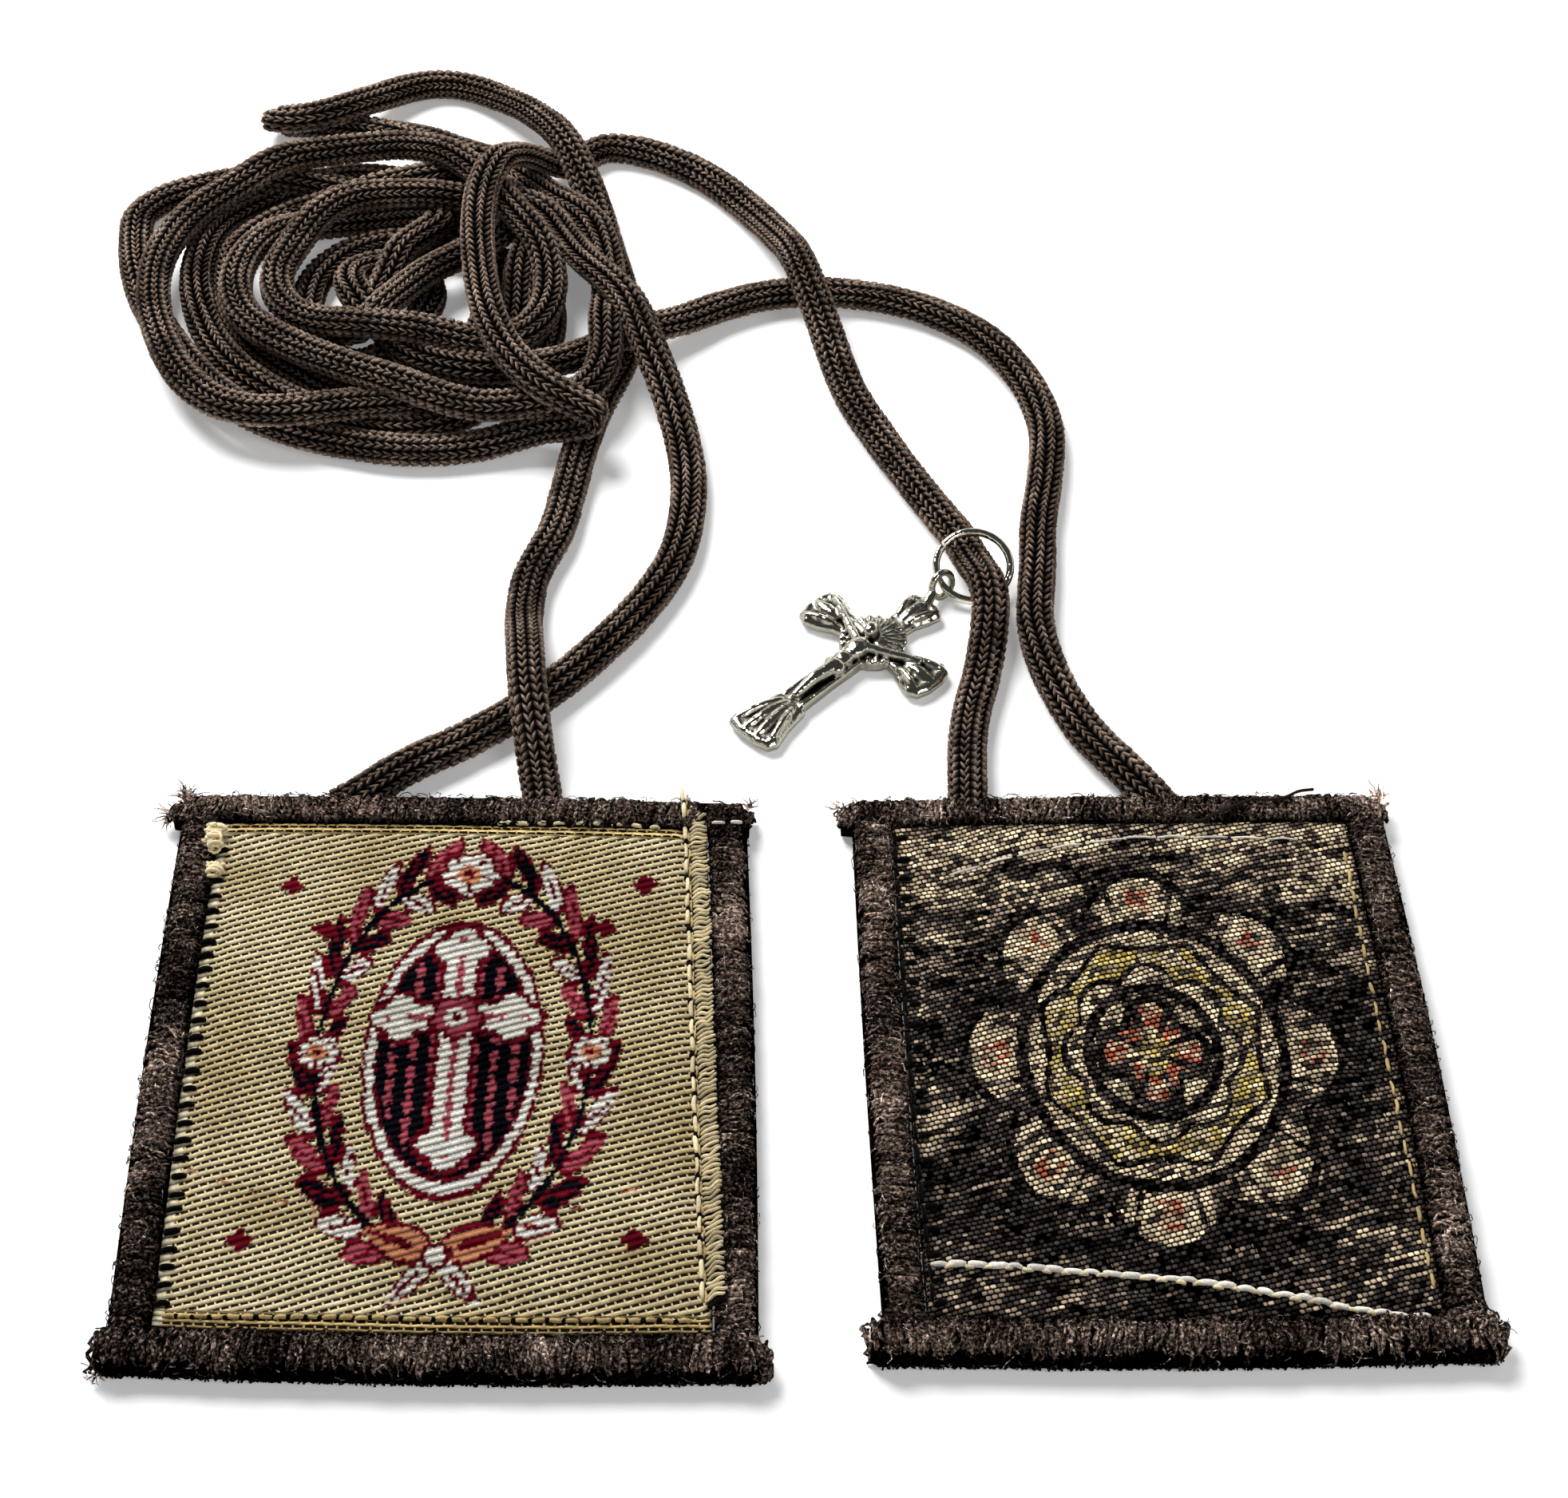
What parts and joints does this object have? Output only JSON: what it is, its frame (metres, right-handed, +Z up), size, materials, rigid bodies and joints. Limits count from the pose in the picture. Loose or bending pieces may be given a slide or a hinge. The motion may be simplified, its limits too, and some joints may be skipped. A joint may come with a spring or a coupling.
{
  "type": "devotional scapular",
  "caption": "Devotional scapular laid flat: small cloth panels with overcast edges joined by knitted cords in a hank, with a crucifix on a jump ring.",
  "frame": {"origin": "middle of the box of the two panels, on the surface they lie on", "axes": "+X from the left panel to the right one, +Y from the near edges to the edges the cords leave, +Z up from the surface"},
  "size_m": [0.1274, 0.1727, 0.0089],
  "materials": {
    "wool": "brown wool cloth",
    "gold_weave": "coarse gold woven label",
    "dark_weave": "mottled near-black woven label",
    "edging": "brown overcast wool yarn",
    "cord": "brown tubular knit",
    "silver": "silver-coloured cast metal, polished high spots"
  },
  "bodies": {
    "cloth": {"panel_a_back": "wool", "panel_a_label": "gold_weave", "panel_a_edge_far": "edging", "panel_a_edge_near": "edging", "panel_a_edge_left": "edging", "panel_a_edge_right": "edging", "panel_b_back": "wool", "panel_b_label": "dark_weave", "panel_b_edge_far": "edging", "panel_b_edge_near": "edging", "panel_b_edge_left": "edging", "panel_b_edge_right": "edging", "cord_b_left": "cord", "cord_b_right": "cord", "cord_a_right": "cord", "cord_a_left": "cord", "cord_top": "cord", "cord_fold": "cord", "cord_loop": "cord", "hank": "cord"},
    "ring": {"jump_ring": "silver"},
    "cross": {"crucifix": "silver"}
  },
  "joints": [
    {"name": "ring_swing", "type": "hinge", "parent": "cloth", "child": "ring", "pos_m": [0.018, 0.0599, 0.0024], "axis": [-0.2494, 0.9476, -0.1995], "range_deg": [0, 20]},
    {"name": "cross_swing", "type": "hinge", "parent": "ring", "child": "cross", "pos_m": [0.01465, 0.05796, 0.0016], "axis": [-0.5299, 0.7747, 0.3449], "range_deg": [0, 75]}
  ]
}
